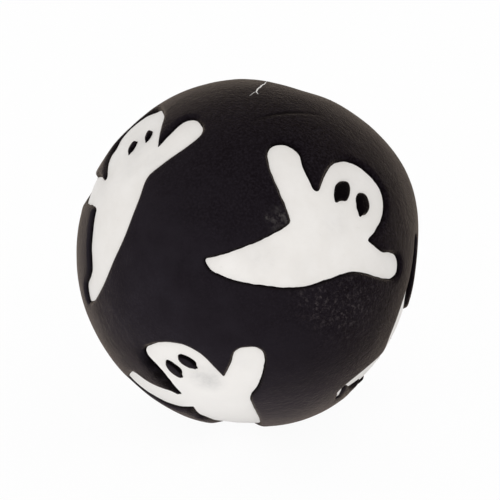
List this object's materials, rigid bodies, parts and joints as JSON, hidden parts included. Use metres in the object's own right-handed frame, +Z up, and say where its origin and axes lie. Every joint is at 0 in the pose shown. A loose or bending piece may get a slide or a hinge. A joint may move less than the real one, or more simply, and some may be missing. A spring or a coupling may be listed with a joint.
{
  "type": "dog ball",
  "caption": "Black latex squeaky dog ball with white cartoon ghosts sunk into its skin, stuffed with fibre, and a reed squeaker set flush in its back.",
  "frame": {"origin": "Middle of the flat patch that the ball rests on", "axes": "+Z points up out of the rest patch, -Y faces the front of the ball with the whole ghost, +X is to the right of that front as seen by a viewer"},
  "size_m": [0.0642, 0.065, 0.0643],
  "materials": {
    "latex_black": "Matte black latex, slightly dusty, with a faint sheen at its edges",
    "latex_white": "Flat warm white latex paint, brushed on by hand",
    "fibre": "Loose white polyester stuffing",
    "squeaker_white": "Moulded milky white plastic",
    "reed_film": "Smooth amber plastic film"
  },
  "bodies": {
    "ball": {"latex_skin": "latex_black", "ghost_left": "latex_white", "ghost_front": "latex_white", "ghost_low": "latex_white", "ghost_right": "latex_white", "ghost_back_right": "latex_white", "ghost_back_top": "latex_white", "ghost_back_left": "latex_white", "ghost_back_low": "latex_white", "fibre_filling": "fibre", "squeaker_plug": "squeaker_white", "squeaker_guard": "squeaker_white", "reed_bed": "squeaker_white", "reed_clamp": "squeaker_white"},
    "reed_tongue": {"reed": "reed_film"}
  },
  "joints": [
    {"name": "reed_flex", "type": "hinge", "parent": "ball", "child": "reed_tongue", "pos_m": [0, 0.0213, 0.01964], "axis": [1, 0, 0], "range_deg": [-3.5, 3.5], "stiffness_Nm_per_rad": 0.0005}
  ]
}
